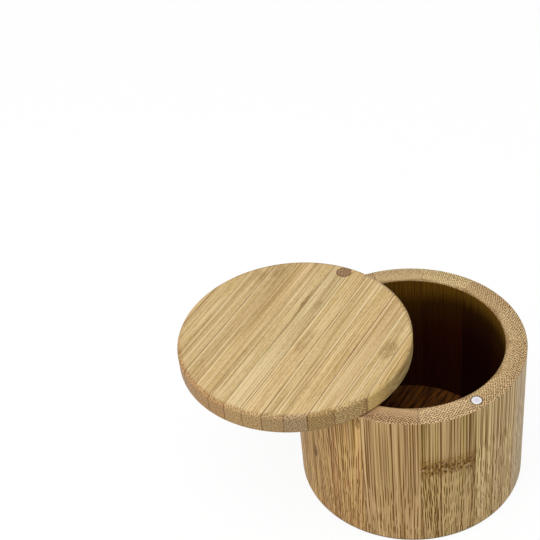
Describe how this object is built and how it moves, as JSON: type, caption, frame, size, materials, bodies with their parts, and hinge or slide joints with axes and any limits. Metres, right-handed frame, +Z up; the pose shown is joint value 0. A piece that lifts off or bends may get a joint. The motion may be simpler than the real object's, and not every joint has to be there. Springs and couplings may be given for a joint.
{
  "type": "salt box",
  "caption": "Round bamboo salt box turned from glued staves, with a flat glued-up lid that swivels on a pivot screw in the wall and closes on a magnet.",
  "frame": {"origin": "centre of the ring's foot, on the surface that the box stands on", "axes": "+Z up along the ring's axis, +X to the right and +Y away from the viewer in the pictured view; the lid is swung open to -X"},
  "size_m": [0.1319, 0.0905, 0.0724],
  "materials": {
    "ring_bamboo": "satin",
    "board_bamboo": "satin",
    "dark_wood": "satin",
    "steel": "satin",
    "nickel": "polished",
    "plastic": "matte"
  },
  "bodies": {
    "box": {"stave_01": "ring_bamboo", "stave_02": "ring_bamboo", "stave_03": "ring_bamboo", "stave_04": "ring_bamboo", "stave_05": "ring_bamboo", "stave_06": "ring_bamboo", "stave_07": "ring_bamboo", "stave_08": "ring_bamboo", "stave_09": "ring_bamboo", "stave_10": "ring_bamboo", "stave_11": "ring_bamboo", "stave_12": "ring_bamboo", "stave_13": "ring_bamboo", "base_strip_01": "board_bamboo", "base_strip_02": "board_bamboo", "base_strip_03": "board_bamboo", "base_strip_04": "board_bamboo", "base_strip_05": "board_bamboo", "base_strip_06": "board_bamboo", "base_strip_07": "board_bamboo", "base_strip_08": "board_bamboo", "base_strip_09": "board_bamboo", "base_strip_10": "board_bamboo", "base_strip_11": "board_bamboo", "pivot_screw": "steel", "head_washer": "steel", "slip_washer": "plastic", "rim_magnet": "nickel"},
    "lid": {"lid_strip_01": "board_bamboo", "lid_strip_02": "board_bamboo", "lid_strip_03": "board_bamboo", "lid_strip_04": "board_bamboo", "lid_strip_05": "board_bamboo", "lid_strip_06": "board_bamboo", "lid_strip_07": "board_bamboo", "lid_strip_08": "board_bamboo", "lid_strip_09": "board_bamboo", "lid_strip_10": "board_bamboo", "lid_strip_11": "board_bamboo", "lid_strip_12": "board_bamboo", "lid_strip_13": "board_bamboo", "pivot_plug": "dark_wood", "lid_magnet": "nickel"}
  },
  "joints": [
    {"name": "lid_swivel", "type": "hinge", "parent": "box", "child": "lid", "pos_m": [-0.02265, 0.03358, 0.0643], "axis": [0, 0, 1], "continuous": true}
  ]
}
